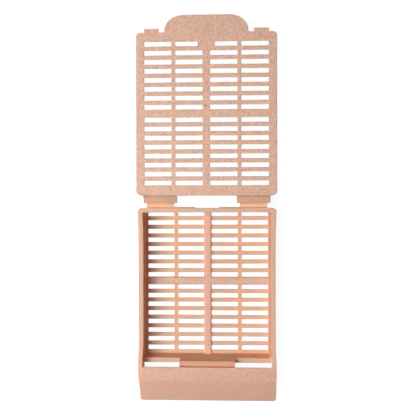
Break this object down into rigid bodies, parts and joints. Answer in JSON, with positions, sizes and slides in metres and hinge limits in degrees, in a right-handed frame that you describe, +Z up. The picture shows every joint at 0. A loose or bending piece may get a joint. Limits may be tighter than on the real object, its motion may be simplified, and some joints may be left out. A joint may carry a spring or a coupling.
{
  "type": "tissue cassette",
  "caption": "Flat slotted plastic cassette for tissue specimens: a shallow tray with a slanted writing face and a slotted snap-down lid on two strap hinges, laid open.",
  "frame": {"origin": "on the tray's underside, below the crossing of the floor's two ribs", "axes": "+X across the cassette to the right, +Y from the writing face towards the opened lid, +Z up"},
  "size_m": [0.0282, 0.0784, 0.0069],
  "materials": {
    "acetal": "fine spark-eroded texture with smooth slanted face"
  },
  "bodies": {
    "tray": {"tray": "acetal"},
    "hinge_straps": {"hinge_strap_left": "acetal", "hinge_strap_right": "acetal"},
    "lid": {"lid": "acetal"}
  },
  "joints": [
    {"name": "strap_fold", "type": "hinge", "parent": "tray", "child": "hinge_straps", "pos_m": [0, 0.01599, 0.00484], "axis": [1, 0, 0], "range_deg": [0, 55]},
    {"name": "lid_fold", "type": "hinge", "parent": "hinge_straps", "child": "lid", "pos_m": [0, 0.01748, 0.00588], "axis": [1, 0, 0], "range_deg": [0, 125]}
  ]
}
